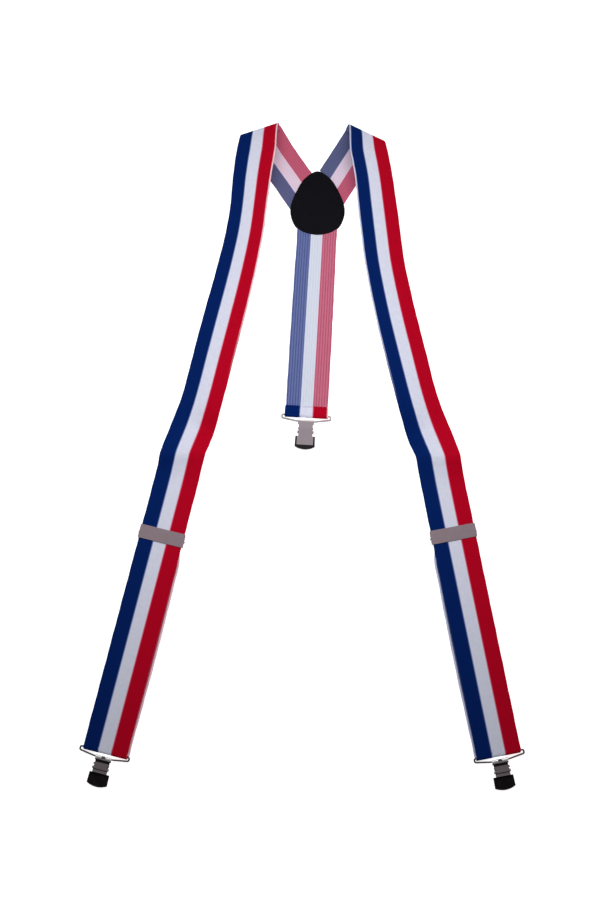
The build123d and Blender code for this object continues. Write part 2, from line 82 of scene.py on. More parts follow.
SIDES = {
    "left": {
        "sign": -1,
        "run_point": (-28.6, 27.5),
        "run_angle": 123.9,
        "fold_outer_at": 78.5,
        "fold_inner_at": 63.5,
        "fold_outer_half": 21.4,
        "fold_outer_r": 1.9,
        "fold_inner_r": 4.0,
        "front": [
            (-72.6, 60.0, 22.0),
            (-77.3, 28.0, 24.0),
            (-80.2, 0.0, 28.0),
            (-85.1, -36.0, 26.0),
            (-92.6, -72.0, 22.0),
            (-101.2, -108.0, 18.0),
            (-110.2, -143.0, 15.0),
            (-119.0, -178.0, 15.0),
            (-137.2, -249.0, 13.0),
        ],
        "crease": (-155.4, -303.0),
        "bar": (-239.5, -641.2),
        "adjuster_below_crease": 97.4,
    },
    "right": {
        "sign": 1,
        "run_point": (30.4, 40.4),
        "run_angle": 58.3,
        "fold_outer_at": 52.3,
        "fold_inner_at": 45.9,
        "fold_outer_half": 23.1,
        "fold_outer_r": 1.9,
        "fold_inner_r": 4.0,
        "front": [
            (61.0, 58.0, 25.0),
            (66.3, 28.0, 25.0),
            (69.7, 0.0, 22.0),
            (73.9, -36.0, 20.0),
            (78.2, -72.0, 20.0),
            (84.8, -108.0, 18.0),
            (92.2, -143.0, 16.0),
            (100.5, -178.0, 15.0),
            (118.4, -249.0, 14.0),
        ],
        "crease": (137.8, -306.2),
        "bar": (202.4, -644.0),
        "adjuster_below_crease": 90.5,
    },
}
END_BAR_Y = -6.2  # the adjuster's end bar, from the adjuster's middle
SLEEVE_R = 1.9  # outer radius of the webbing's sleeve round the end bar
SLEEVE_MIDDLE_R = SLEEVE_R - 0.6  # of the middle of the sleeve's cloth
SLEEVE_NARROWER = 3.0  # the sleeve is this much narrower than the strap

# ---- how the straps lie, in millimetres ---------------------------------------------------------------
RUN_REST = LOW_Z + 0.3  # middle of the strap where it lies flat between the patch and the shoulder
# Under the patch and beyond it: places of the outer and inner edges along the run, and the height.
RUN_LINES = (
    (-42, -15, PATCH_Z),
    (-28, -12, PATCH_Z),
    (-12, -6, PATCH_Z),
    (4, 4, PATCH_Z),
    (12, 12, 1.7),
    (22, 22, RUN_REST),
    (38, 32, RUN_REST),
)
SETTLE = 1.1  # the low edge of the front comes down this much from one given place to the next
CREASE_REACH = 30.0  # how far from the crease the cross lines are turned
CREASE_SOFT = 8.0  # the strap's direction changes over about this length
JOINED = 50.0  # from the crease: where the shoulder's piece of webbing meets the front's
# Distance from the crest, and height.
UPPER_CREASE = ((-34, 2.6), (-22, 6.6), (-12.6, 10.4), (-5, 13.1), (0, CREST_HEIGHT))
LOWER_CREASE = ((4.5, 13.0), (10.8, 10.3), (18, 7.9), (26, 5.9), (36, FRONT_Z), (JOINED, FRONT_Z))
BACK_LOW = BACK_BAR_Z - LOOP_R  # the back strap's lower layer at its bail
BACK_REST = LOW_Z + LIFT
BACK_LOOP_TOP = BACK_BAR_Z + LOOP_R
HEM_TOP = BACK_LOW + WEB_THICK + 0.35
# The back strap: distance from the bail's bar, height and width; then the same with distances from its fold.
BACK_HEM = (
    (HEM_LENGTH, HEM_TOP, WEB_WIDTH - 0.8),
    (9, HEM_TOP + 0.15, WEB_WIDTH - 0.4),
    (4, BACK_LOOP_TOP - 0.25, WEB_WIDTH),
    (0, BACK_LOOP_TOP, WEB_WIDTH),
)
BACK_FROM_BAR = (
    (0, BACK_LOW, 49),
    (12, BACK_LOW, 49),
    (20, BACK_LOW - 0.1, 49),
    (34, BACK_REST + 0.3, 49),
    (50, BACK_REST, 49),
    (90, BACK_REST, 49),
    (130, BACK_REST, 48.5),
    (165, BACK_REST, 48),
)
BACK_FROM_FOLD = (
    (-24, BACK_REST, 47.4),
    (-10, PATCH_Z - 0.6, 47),
    (0, PATCH_Z, 47),
    (10, PATCH_Z, 47),
    (20, PATCH_Z, 47),
)

# ---- stripes and colours ---------------------------------------------------------------------------
STRIPES = (0.345, 0.645)  # where blue gives way to white, and white to red
RIBS = 16  # rubber ribs across the inner face
RIB_DEPTH = 0.14  # of the furrows between them, in millimetres
EDGE_ROUND = 1.1  # the strip's edges are rounded off over this width
EDGE_SHARE = 0.22  # and this share of its thickness is left at the very edge
SELVEDGE_ENDS = 420.0  # the pale selvedge yarn is out of sight this far along the strap


def srgb(r, g, b):
    """A colour as seen on a screen, from 0 to 255, turned into the linear values that shaders use."""
    values = [v / 255 for v in (r, g, b)]
    linear = [v / 12.92 if v < 0.04045 else ((v + 0.055) / 1.055) ** 2.4 for v in values]
    return (*linear, 1.0)


BLUE = srgb(1, 33, 98)
WHITE = srgb(225, 227, 245)
RED = srgb(186, 1, 34)
MEETS = (srgb(118, 132, 192), srgb(228, 122, 148))  # blue with white, and white with red
SELVEDGE = {"left": srgb(248, 212, 222), "right": srgb(212, 214, 240)}

back_fold_at = next(joint["pos_m"] for joint in frame["joints"] if joint["name"] == "back_strap_fold")
MIDDLE = Vector((back_fold_at[0] - BACK_FOLD[0] * MM, back_fold_at[1] - BACK_FOLD[1] * MM, 0))
UP = np.array((0.0, 0.0, 1.0))


def place(points):
    """Points in millimetres from the patch's middle, as metres in the model's frame."""
    return np.asarray(points, float) * MM + np.array(MIDDLE)


def flat(point, z=0.0):
    return np.array((point[0], point[1], z), float)


def unit(vector):
    return vector / np.linalg.norm(vector)


def toward(start, end):
    return unit(flat(end) - flat(start))


# ---- materials --------------------------------------------------------------------------------------
class Nodes:
    """A short way to write a node material."""

    def __init__(self, name):
        self.material = bpy.data.materials.new(name)
        self.material.use_nodes = True
        self.tree = self.material.node_tree
        self.shader = self.tree.nodes["Principled BSDF"]

    def add(self, kind, settings=None, **inputs):
        node = self.tree.nodes.new(kind)
        for key, value in (settings or {}).items():
            setattr(node, key, value)
        for key, value in inputs.items():
            self.set(node.inputs[key.replace("_", " ")], value)
        return node

    def set(self, socket, value):
        if isinstance(value, bpy.types.NodeSocket):
            self.tree.links.new(value, socket)
        else:
            socket.default_value = value

    def math(self, operation, first, second=None, clamp=False):
        node = self.add("ShaderNodeMath", {"operation": operation, "use_clamp": clamp})
        self.set(node.inputs[0], first)
        if second is not None:
            self.set(node.inputs[1], second)
        return node.outputs[0]

    def mix(self, factor, first, second, blend="MIX"):
        node = self.add("ShaderNodeMix", {"data_type": "RGBA", "blend_type": blend})
        self.set(node.inputs[0], factor)
        self.set(node.inputs[6], first)
        self.set(node.inputs[7], second)
        return node.outputs[2]

    def ramp(self, factor, stops, interpolation="LINEAR"):
        node = self.add("ShaderNodeValToRGB")
        ramp = node.color_ramp
        ramp.interpolation = interpolation
        while len(ramp.elements) < len(stops):
            ramp.elements.new(0.5)
        for element, (place_at, colour) in zip(ramp.elements, stops):
            element.position = place_at
            element.color = colour
        self.set(node.inputs[0], factor)
        return node.outputs[0]

    def noise(self, vector, scale, detail=3.0, roughness=0.55):
        node = self.add("ShaderNodeTexNoise", Scale=scale, Detail=detail, Roughness=roughness)
        self.set(node.inputs["Vector"], vector)
        return node.outputs[0]

    def scaled(self, vector, scale):
        node = self.add("ShaderNodeMapping")
        self.set(node.inputs["Vector"], vector)
        node.inputs["Scale"].default_value = scale
        return node.outputs[0]

    def bump(self, height, strength, distance, normal=None):
        node = self.add("ShaderNodeBump", Strength=strength, Distance=distance)
        self.set(node.inputs["Height"], height)
        if normal is not None:
            self.set(node.inputs["Normal"], normal)
        return node.outputs[0]

    def finish(self, colour, roughness, normal=None, **sockets):
        self.set(self.shader.inputs["Base Color"], colour)
        self.set(self.shader.inputs["Roughness"], roughness)
        if normal is not None:
            self.set(self.shader.inputs["Normal"], normal)
        for key, value in sockets.items():
            self.set(self.shader.inputs[key.replace("_", " ")], value)
        return self.material


def stripe_stops(blue, white, red, meets, soft=0.01):
    """Colour stops across a strip. Meets holds the colours of the mixed yarn where two stripes meet."""
    first, second = STRIPES
    return [
        (0.0, blue),
        (first - soft, blue),
        (first, meets[0]),
        (first + soft, white),
        (second - soft, white),
        (second, meets[1]),
        (second + soft, red),
        (1.0, red),
    ]


def strip_coordinates(n):
    """(place across the strip from 0 to 1, distances across and along it in millimetres)."""
    uv = n.add("ShaderNodeUVMap", {"uv_map": "strip"}).outputs[0]
    parts = n.add("ShaderNodeSeparateXYZ")
    n.set(parts.inputs[0], uv)
    across = parts.outputs[0]
    across_mm = n.math("MULTIPLY", across, WEB_WIDTH)
    along_mm = n.math("MULTIPLY", parts.outputs[1], WEB_WIDTH)
    return uv, across, across_mm, along_mm


def yarn_weave(n, across_mm, along_mm, warp_mm, weft_mm):
    """A plain weave's height: warp yarns that pass over and under the weft in turn."""
    warp = n.math("SINE", n.math("MULTIPLY", across_mm, pi / warp_mm))
    weft = n.math("SINE", n.math("MULTIPLY", along_mm, pi / weft_mm))
    return n.math("MULTIPLY", warp, weft)


def webbing_outer(side_name):
    """Smooth woven face; its raised edge over the shoulder shows a line of pale selvedge yarn."""
    n = Nodes(f"webbing_outer_{side_name}")
    uv, across, across_mm, along_mm = strip_coordinates(n)
    colour = n.ramp(across, stripe_stops(BLUE, WHITE, RED, MEETS, 0.018))
    from_edge = across_mm if side_name == "right" else n.math("SUBTRACT", WEB_WIDTH, across_mm)
    pale = n.math("SUBTRACT", 2.0, from_edge, clamp=True)
    shown = n.math("MULTIPLY", n.math("SUBTRACT", SELVEDGE_ENDS, along_mm), 0.01, clamp=True)
    colour = n.mix(n.math("MULTIPLY", pale, shown), colour, SELVEDGE[side_name])
    weave = yarn_weave(n, across_mm, along_mm, 0.55, 0.42)
    lines = n.math("SINE", n.math("MULTIPLY", along_mm, 2 * pi / 0.84))
    height = n.math("ADD", n.math("MULTIPLY", weave, 0.6), n.math("MULTIPLY", lines, 0.4))
    cloudy = n.noise(n.scaled(uv, (10, 10, 1)), 1.0, 4.0)
    fibre = n.noise(n.scaled(uv, (180, 12, 1)), 1.0, 2.0)
    shade = n.math("ADD", n.math("MULTIPLY", cloudy, 0.16), n.math("MULTIPLY", fibre, 0.16))
    deep = n.math("ADD", n.math("MULTIPLY", weave, 0.07), n.math("ADD", shade, 0.84))
    tint = n.add("ShaderNodeCombineXYZ")
    for socket in tint.inputs:
        n.set(socket, deep)
    colour = n.mix(1.0, colour, tint.outputs[0], "MULTIPLY")
    normal = n.bump(height, 0.45, 0.00012)
    return n.finish(colour, 0.82, normal, Specular_IOR_Level=0.05)


def webbing_inner(name, rib_colours, furrow_colours, pale_edge=0.0):
    """Rubber ribs under white yarn, with the coloured yarn showing in the furrows between them."""
    n = Nodes(name)
    uv, across, across_mm, along_mm = strip_coordinates(n)
    tops = n.ramp(across, stripe_stops(*rib_colours, MEETS))
    furrows = n.ramp(across, stripe_stops(*furrow_colours, MEETS))
    rib = n.math("ABSOLUTE", n.math("COSINE", n.math("MULTIPLY", across, pi * RIBS)))
    fibre = n.noise(n.scaled(uv, (60, 9, 1)), 1.0, 4.0)
    broken = n.math("ADD", n.math("MULTIPLY", rib, 0.75), n.math("MULTIPLY", fibre, 0.5))
    factor = n.math("SUBTRACT", broken, 0.25, clamp=True)
    colour = n.mix(factor, furrows, tops)
    at_edge = n.math("SUBTRACT", n.math("ABSOLUTE", n.math("SUBTRACT", across, 0.5)), 0.445)
    edge_colour = n.ramp(across, [(0.4, SELVEDGE["right"]), (0.6, SELVEDGE["left"])])
    colour = n.mix(n.math("MULTIPLY", at_edge, pale_edge * 50.0, clamp=True), colour, edge_colour)
    weave = yarn_weave(n, across_mm, along_mm, 0.5, 0.8)
    height = n.math("ADD", n.math("MULTIPLY", weave, 0.5), n.math("MULTIPLY", fibre, 0.5))
    normal = n.bump(height, 0.5, 0.00012)
    return n.finish(colour, 0.85, normal, Specular_IOR_Level=0.1)


def object_space(n):
    return n.add("ShaderNodeTexCoord").outputs["Object"]


def leather(name, colour, roughness=0.5):
    """Grained leather: small rounded cells with fine creases between them."""
    n = Nodes(name)
    at = object_space(n)
    warp = n.noise(at, 350.0, 2.0)
    cells = n.add("ShaderNodeTexVoronoi", {"feature": "DISTANCE_TO_EDGE"}, Scale=900.0)
    moved = n.add("ShaderNodeVectorMath", {"operation": "SCALE"}, Scale=0.0012)
    n.set(moved.inputs[0], warp)
    added = n.add("ShaderNodeVectorMath", {"operation": "ADD"})
    n.set(added.inputs[0], at)
    n.set(added.inputs[1], moved.outputs[0])
    n.set(cells.inputs["Vector"], added.outputs[0])
    pebble = n.ramp(cells.outputs["Distance"], [(0.0, (0, 0, 0, 1)), (0.28, (1, 1, 1, 1))], "EASE")
    broad = n.noise(at, 60.0, 4.0)
    shade = n.ramp(broad, [(0.3, (0.7, 0.7, 0.7, 1)), (0.75, (1, 1, 1, 1))])
    tinted = n.mix(1.0, colour, shade, "MULTIPLY")
    creased = n.mix(n.math("SUBTRACT", 1.0, pebble), tinted, (0.002, 0.002, 0.003, 1))
    rough = n.math("ADD", n.math("MULTIPLY", broad, 0.25), roughness - 0.12)
    normal = n.bump(pebble, 0.35, 0.00018, n.bump(broad, 0.3, 0.0006))
    return n.finish(creased, rough, normal, Specular_IOR_Level=0.06)


def thread(name, colour):
    """Twisted sewing thread, with a slanting ply."""
    n = Nodes(name)
    at = object_space(n)
    plies = n.add("ShaderNodeTexWave", {"bands_direction": "DIAGONAL"}, Scale=900.0, Distortion=0.6)
    n.set(plies.inputs["Vector"], at)
    dark = tuple(v * 0.55 for v in colour[:3]) + (1,)
    shade = n.mix(plies.outputs["Fac"], dark, colour)
    return n.finish(shade, 0.7, n.bump(plies.outputs["Fac"], 0.4, 0.0001), Specular_IOR_Level=0.1)


def metal(name, colour, roughness, grain=(40.0, 2200.0, 2200.0), wear=0.12):
    """Nickel plate with fine brushed lines and faint rubbed patches."""
    n = Nodes(name)
    at = object_space(n)
    lines = n.noise(n.scaled(at, grain), 1.0, 3.0)
    patches = n.noise(at, 260.0, 3.0)
    dull = tuple(v * 0.72 for v in colour[:3]) + (1,)
    shade = n.mix(n.math("MULTIPLY", patches, 0.6), colour, dull)
    rough = n.math("ADD", n.math("MULTIPLY", lines, wear), roughness - wear / 2)
    normal = n.bump(lines, 0.10, 0.00006)
    return n.finish(shade, rough, normal, Metallic=1.0)


LEVER_TIP = 0.0150  # a clip's lever starts this far from the bail's bar, in metres; the painted shade beside the curl stops here
SHARP = 2000.0  # how sharply the painted highlight on the curl, the plain nickel and the painted shade give way to each other


def clip_metal(name, bail_bar, up_strap, curl_end, painted_curl_highlight, plain, recess_shade):
    """Nickel with a painted highlight on its curl as far as curl_end: near-white and less metallic there, and
    truly smoother as well; the last colour is painted shade between curl and lever.
    """
    n = Nodes(name)
    at = object_space(n)
    offset = n.add("ShaderNodeVectorMath", {"operation": "SUBTRACT"})
    n.set(offset.inputs[0], at)
    offset.inputs[1].default_value = tuple(bail_bar)
    along = n.add("ShaderNodeVectorMath", {"operation": "DOT_PRODUCT"})
    n.set(along.inputs[0], offset.outputs[0])
    along.inputs[1].default_value = tuple(up_strap)
    # painted highlight on the curl; the same mask also makes the curl truly smoother
    polish_and_highlight = n.math("MULTIPLY", n.math("ADD", along.outputs["Value"], curl_end), SHARP, clamp=True)
    lines = n.noise(n.scaled(at, (40.0, 2200.0, 2200.0)), 1.0, 3.0)
    patches = n.noise(at, 260.0, 3.0)
    dull = tuple(v * 0.75 for v in plain[:3]) + (1,)
    body = n.mix(n.math("MULTIPLY", patches, 0.6), plain, dull)
    # painted shade on the base plate between the curl and the lever, where the recess lies in shadow
    shade_above_lever = n.math("MULTIPLY", n.math("ADD", along.outputs["Value"], LEVER_TIP), SHARP, clamp=True)
    body = n.mix(shade_above_lever, body, recess_shade)
    streaky = n.math("ADD", n.math("MULTIPLY", lines, 0.1), 0.48)
    rough = n.math("SUBTRACT", streaky, n.math("MULTIPLY", polish_and_highlight, 0.26))
    normal = n.bump(lines, 0.1, 0.00006)
    # less metallic on the curl, so that its near-white colour shows as a painted highlight
    metallic = n.math("SUBTRACT", 1.0, n.math("MULTIPLY", polish_and_highlight, 0.6))
    return n.finish(n.mix(polish_and_highlight, body, painted_curl_highlight), rough, normal, Metallic=metallic)


def moulded_plastic(name, colour):
    """Black plastic with a fine spark-eroded grain and faint flow marks."""
    n = Nodes(name)
    at = object_space(n)
    grain = n.noise(at, 4200.0, 2.0)
    flow = n.noise(at, 180.0, 3.0)
    lighter = tuple(v * 1.9 + 0.004 for v in colour[:3]) + (1,)
    shade = n.mix(n.ramp(flow, [(0.45, (0, 0, 0, 1)), (0.8, (1, 1, 1, 1))]), colour, lighter)
    rough = n.math("ADD", n.math("MULTIPLY", flow, 0.2), 0.36)
    return n.finish(shade, rough, n.bump(grain, 0.25, 0.00005), Specular_IOR_Level=0.1)


# ---- strips of webbing ----------------------------------------------------------------------------------
def cross_line(middle, across, width=WEB_WIDTH, tilt=0.0):
    """The two edge points of a strap; tilt raises the edge that across points to."""
    half = (across * cos(radians(tilt)) + UP * sin(radians(tilt))) * (width / 2)
    return middle - half, middle + half


def smooth_between(t, gap, start, start_slope, end, end_slope):
    """The place at share t of a smooth curve from start to end."""
    a, b = 2 * t**3 - 3 * t**2 + 1, t**3 - 2 * t**2 + t
    c, d = -2 * t**3 + 3 * t**2, t**3 - t**2
    return a * start + b * gap * start_slope + c * end + d * gap * end_slope


def smooth_lines(lines, step):
    """More cross lines between the given ones, on smooth curves along both edges."""
    points = np.array(lines, float)
    gaps = np.linalg.norm(np.diff(points, axis=0), axis=2).max(axis=1)
    at = np.concatenate([[0.0], np.cumsum(gaps)])
    slopes = np.gradient(points, at, axis=0)
    made = []
    for i, gap in enumerate(gaps):
        count = max(1, ceil(gap / step))
        for k in range(count):
            made.append(smooth_between(k / count, gap, points[i], slopes[i], points[i + 1], slopes[i + 1]))
    made.append(points[-1])
    return np.array(made)


def across_places(count):
    """Places across the strip from 0 to 1, closer together at the rounded edges."""
    edge = np.array((0.0, 0.15, 0.45, 0.9, 1.5)) / WEB_WIDTH
    inner = np.linspace(edge[-1], 1 - edge[-1], count)[1:-1]
    return np.concatenate([edge, inner, (1 - edge)[::-1]])


def half_thickness(places):
    """Half the strip's thickness in millimetres, rounded off at its two edges."""
    from_edge = np.minimum(places, 1 - places) * WEB_WIDTH
    rounded = np.sqrt(np.clip(1 - (1 - np.clip(from_edge / EDGE_ROUND, 0, 1)) ** 2, 0, 1))
    return WEB_THICK / 2 * (EDGE_SHARE + (1 - EDGE_SHARE) * rounded)


def mesh_object(name, vertices, faces, materials, face_slots=None):
    mesh = bpy.data.meshes.new(name)
    mesh.from_pydata([tuple(v) for v in vertices], [], faces)
    for material in materials:
        mesh.materials.append(material)
    if face_slots is not None:
        mesh.polygons.foreach_set("material_index", np.asarray(face_slots, np.int32))
    mesh.polygons.foreach_set("use_smooth", np.ones(len(mesh.polygons), bool))
    mesh.update()
    made = bpy.data.objects.new(name, mesh)
    bpy.context.scene.collection.objects.link(made)
    return made


def webbing(name, lines, cloth, start_at=0.0, step=2.2, count=98, capped=(True, True)):
    """A strip through cross lines, each from the blue edge to the red edge. Capped closes its two ends.

    Cloth is the materials of its outer and inner faces; the inner face looks along across x along.
    Start_at is how far along the whole strap it begins; how far along it ends is returned as well.
    """
    dense = smooth_lines(lines, step)
    middles = dense.mean(axis=1)
    along = np.gradient(middles, axis=0)
    across = dense[:, 1] - dense[:, 0]
    normals = np.cross(across, along)
    normals /= np.linalg.norm(normals, axis=1)[:, None]
    travelled = np.concatenate([[0.0], np.cumsum(np.linalg.norm(np.diff(middles, axis=0), axis=1))])
    travelled += start_at
    places = across_places(count)
    half = half_thickness(places)
    full = half > 0.7
    ribs = RIB_DEPTH * (1 - np.abs(np.cos(pi * RIBS * places))) * full
    wavy = 0.10 * np.sin(travelled / 7.3) + 0.08 * np.sin(travelled / 3.1 + 1.0)  # slightly uneven edges
    rows, columns = len(dense), len(places)
    spread = dense[:, None, 0] + places[None, :, None] * across[:, None]
    outward = np.where(places < 0.5, -1, 1) * (np.abs(places - 0.5) > 0.47)
    sideways = across / np.linalg.norm(across, axis=1)[:, None]
    spread += (wavy[:, None] * outward[None, :])[:, :, None] * sideways[:, None]
    inner = spread + (half - ribs)[None, :, None] * normals[:, None]
    outer = spread - half[None, :, None] * normals[:, None]
    vertices = place(np.concatenate([inner.reshape(-1, 3), outer.reshape(-1, 3)]))
    faces, slots, uvs = [], [], []
    v_at = travelled / WEB_WIDTH
    base = rows * columns

    def quad(corners, slot_index):
        faces.append([side * base + i * columns + j for side, i, j in corners])
        slots.append(slot_index)
        uvs.extend((places[j], v_at[i]) for _, i, j in corners)

    for i in range(rows - 1):
        for j in range(columns - 1):
            quad([(0, i, j), (0, i, j + 1), (0, i + 1, j + 1), (0, i + 1, j)], 1)
            quad([(1, i, j), (1, i + 1, j), (1, i + 1, j + 1), (1, i, j + 1)], 0)
        quad([(0, i, 0), (0, i + 1, 0), (1, i + 1, 0), (1, i, 0)], 1)
        last = columns - 1
        quad([(0, i, last), (1, i, last), (1, i + 1, last), (0, i + 1, last)], 1)
    end = rows - 1
    for j in range(columns - 1):
        if capped[0]:
            quad([(0, 0, j), (1, 0, j), (1, 0, j + 1), (0, 0, j + 1)], 1)
        if capped[1]:
            quad([(0, end, j), (0, end, j + 1), (1, end, j + 1), (1, end, j)], 1)
    made = mesh_object(name, vertices, faces, cloth, slots)
    layer = made.data.uv_layers.new(name="strip")
    layer.data.foreach_set("uv", np.array(uvs, np.float32).ravel())
    return made, travelled[-1]


def in_colour_order(side, lines):
    """Cross lines run from the outer to the inner edge; blue is the left edge on both straps."""
    if side["sign"] > 0:
        return [(b, a) for a, b in lines]
    return list(lines)


def shoulder_lines(side):
    """From under the patch, over the shoulder fold, to the last flat place before the crease."""
    angle = radians(side["run_angle"])
    run = np.array((cos(angle), sin(angle), 0.0))
    inner = np.array((-run[1], run[0], 0.0)) * side["sign"]
    start = flat(side["run_point"])
    half = RUN_WIDTH / 2
    lines = []
    for outer_at, inner_at, z in RUN_LINES:
        outer_end = start - inner * half + run * outer_at
        inner_end = start + inner * half + run * inner_at
        lines.append((outer_end + UP * z, inner_end + UP * z))
    outer_edge = start - inner * side["fold_outer_half"] + run * side["fold_outer_at"] + UP * RUN_REST
    inner_edge = start + inner * half + run * side["fold_inner_at"] + UP * RUN_REST
    beyond = unit(np.cross(inner_edge - outer_edge, UP)) * -side["sign"]
    for degrees in range(0, 181, 10):
        turn = radians(degrees)
        edges = []
        for edge, r in ((outer_edge, side["fold_outer_r"]), (inner_edge, side["fold_inner_r"])):
            edges.append(edge + beyond * (r * sin(turn)) + UP * (r * (1 - cos(turn))))
        lines.append(tuple(edges))
    outer_z = lines[-1][0][2]
    front = side["front"]
    for i, (x, y, tilt) in enumerate(front):
        before = front[max(i - 1, 0)]
        after = front[i + 1] if i + 1 < len(front) else side["crease"]
        across = np.cross(toward(before[:2], after[:2]), UP) * side["sign"]
        low_edge = max(outer_z - SETTLE * i, LOW_Z + LIFT)
        middle = flat((x, y), low_edge + WEB_WIDTH / 2 * sin(radians(tilt)))
        lines.append(cross_line(middle, across, tilt=tilt))
    return lines


def crease_lines(side, offsets):
    """Cross lines over the packing crease, each (distance from the crest along the strap, height).

    The crease itself lies along X; the cross lines turn from there to square across the strap.
    """
    down = toward(side["crease"], side["bar"])
    before = toward(side["front"][-1][:2], side["crease"])
    lines = []
    for distance, height in offsets:
        direction = down if distance > 0 else before
        middle = flat(side["crease"], height) + direction * distance
        turned = cos(pi / 2 * min(abs(distance) / CREASE_REACH, 1)) ** 2
        between = unit(before + (down - before) * (0.5 + 0.5 * np.tanh(distance / CREASE_SOFT)))
        square = np.cross(between, UP) * side["sign"]
        across = unit(square * (1 - turned) - np.array((side["sign"] * turned, 0.0, 0.0)))
        lines.append(cross_line(middle, across, WEB_WIDTH / np.dot(across, square)))
    return lines


def long_strap(name, side):
    """One long strap in three pieces, each cut where both neighbours follow the same body."""
    cloth = (OUTER[name], SHADED_RUN_INNER)
    down = toward(side["crease"], side["bar"])
    across = np.cross(down, UP) * side["sign"]
    bar = flat(side["bar"], BAR_Z)
    upper = shoulder_lines(side) + crease_lines(side, UPPER_CREASE + LOWER_CREASE)
    piece, length = webbing(f"{name}_shoulder_webbing", in_colour_order(side, upper), cloth,
                            capped=(True, False))
    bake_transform(piece)
    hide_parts(f"{name}_shoulder_strap")

    top = FRONT_Z - BAR_Z
    joined = flat(side["crease"], FRONT_Z) + down * JOINED
    near_loop = bar - down * (2 * LOOP_R) + UP * top
    main = [cross_line(joined + (near_loop - joined) * t, across) for t in np.linspace(0, 1, 9)]
    piece, length = webbing(f"{name}_front_webbing", in_colour_order(side, main), cloth, length,
                            capped=(False, False))
    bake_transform(piece)
    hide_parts(f"{name}_front_strap")

    shift = across * RETURN_SHIFT
    turn = [cross_line(near_loop, across), cross_line(bar + UP * top, across)]
    for degrees in range(15, 181, 15):
        angle = radians(degrees)
        spot = bar + down * (LOOP_R * sin(angle)) + UP * (LOOP_R * cos(angle)) + shift * (degrees / 180)
        turn.append(cross_line(spot, across))
    run = np.linalg.norm(flat(side["bar"]) - flat(side["crease"]))
    back_to = run - side["adjuster_below_crease"] + END_BAR_Y
    floor = bar - UP * LOOP_R + shift + UP * LIFT
    for share in np.linspace(0.06, 0.92, 9):
        drift = across * (RETURN_DRIFT * sin(pi * share))
        turn.append(cross_line(floor - down * (back_to * share) + drift, across))
    end = bar - down * back_to + shift * 0.5
    end[2] = 0.0
    narrow = WEB_WIDTH - SLEEVE_NARROWER
    turn.append(cross_line(end + down * 5 + UP * (LOW_Z + LIFT), across, narrow))
    r = SLEEVE_MIDDLE_R
    for degrees in range(0, 271, 30):
        angle = radians(degrees)
        spot = end - down * (r * sin(angle)) + UP * (SLEEVE_R + LIFT - r * cos(angle))
        turn.append(cross_line(spot, across, narrow))
    cloth = (OUTER[name], SHADED_RETURN_INNER)
    piece, _ = webbing(f"{name}_return_webbing", in_colour_order(side, turn), cloth, length, step=2.0,
                       capped=(False, True))
    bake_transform(piece)
    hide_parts(f"{name}_return_strap")


def back_strap():
    """From the hem on top, round the bail, and up to the patch, with its inner face up."""
    up_strap = toward(BACK_BAR, BACK_FOLD)
    across = np.cross(up_strap, UP)
    bar = flat(BACK_BAR)
    lines = [cross_line(bar + up_strap * at + UP * z, across, width) for at, z, width in BACK_HEM]
    for degrees in range(15, 180, 15):
        angle = radians(degrees)
        spot = bar - up_strap * (LOOP_R * sin(angle)) + UP * (BACK_BAR_Z + LOOP_R * cos(angle))
        lines.append(cross_line(spot, across))
    length = np.linalg.norm(flat(BACK_FOLD) - bar)
    for at, z, width in BACK_FROM_BAR:
        lines.append(cross_line(bar + up_strap * at + UP * z, across, width))
    for beyond, z, width in BACK_FROM_FOLD:
        lines.append(cross_line(bar + up_strap * (length + beyond) + UP * z, across, width))
    piece, _ = webbing("back_webbing", lines, (OUTER["left"], BACK_INNER))
    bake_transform(piece)
    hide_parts("back_strap", "back_strap_in_patch")


# ---- leather patch and thread --------------------------------------------------------------------------
# Rings of a leaf from its middle to its edge and back: distance in from the edge, and the drop or rise.
LEAF_TOP = (
    (29, -0.1), (26, -0.1), (22, -0.09), (18, -0.08), (14, -0.06), (10, -0.04), (6, 0.0), (4.4, 0.0),
    (3.6, 0.05), (3.2, 0.07), (2.8, 0.05), (2.0, 0.0), (1.2, 0.02), (0.6, 0.08), (0.2, 0.24), (0.0, 0.5),
)
LEAF_BASE = ((0.0, 0.4), (0.2, 0.12), (0.6, 0.02), (6, 0.02), (18, 0.02), (28, 0.02))
LEAF_BAND = 6  # rings keep their distance from the edge as far as this
LEAF_CENTRE_IN = 24  # and then close on the centre over this
LEAF_CENTRE = (0.0, -6.0)
SINK = 1.35  # the outer leather sinks this far where no webbing lies under it
SINK_REACH = 6.0  # over this distance from the webbing's edge
PATCH_STITCH_INSET = 3.2
PATCH_STITCHES = 56


def patch_outline(inset, count=180):
    """Points round the egg-shaped patch, drawn inset from the leather's edge."""
    w = PATCH_HALF_WIDTH
    top, low = PATCH_TOP, PATCH_BOTTOM
    right = [(0.42 * w, 0.8 * top), (0.77 * w, 0.36 * top), (w, PATCH_WIDEST_Y), (0.8 * w, 0.75 * low)]
    points = np.array([(0, top), *right, (0, low), *[(-x, y) for x, y in reversed(right)]], float)
    looped = np.concatenate([points[-3:], points, points[:3]])
    at = np.concatenate([[0], np.cumsum(np.linalg.norm(np.diff(looped, axis=0), axis=1))])
    slopes = np.gradient(looped, at, axis=0)
    inside = np.linspace(at[3], at[-3], count, endpoint=False)
    made = []
    for s in inside:
        i = int(np.searchsorted(at, s, side="right") - 1)
        gap = at[i + 1] - at[i]
        share = (s - at[i]) / gap
        made.append(smooth_between(share, gap, looped[i], slopes[i], looped[i + 1], slopes[i + 1]))
    made = np.array(made)
    ahead = np.roll(made, -1, axis=0) - np.roll(made, 1, axis=0)
    inward = np.stack([ahead[:, 1], -ahead[:, 0]], axis=1)
    inward /= np.linalg.norm(inward, axis=1)[:, None]
    return made + inward * inset


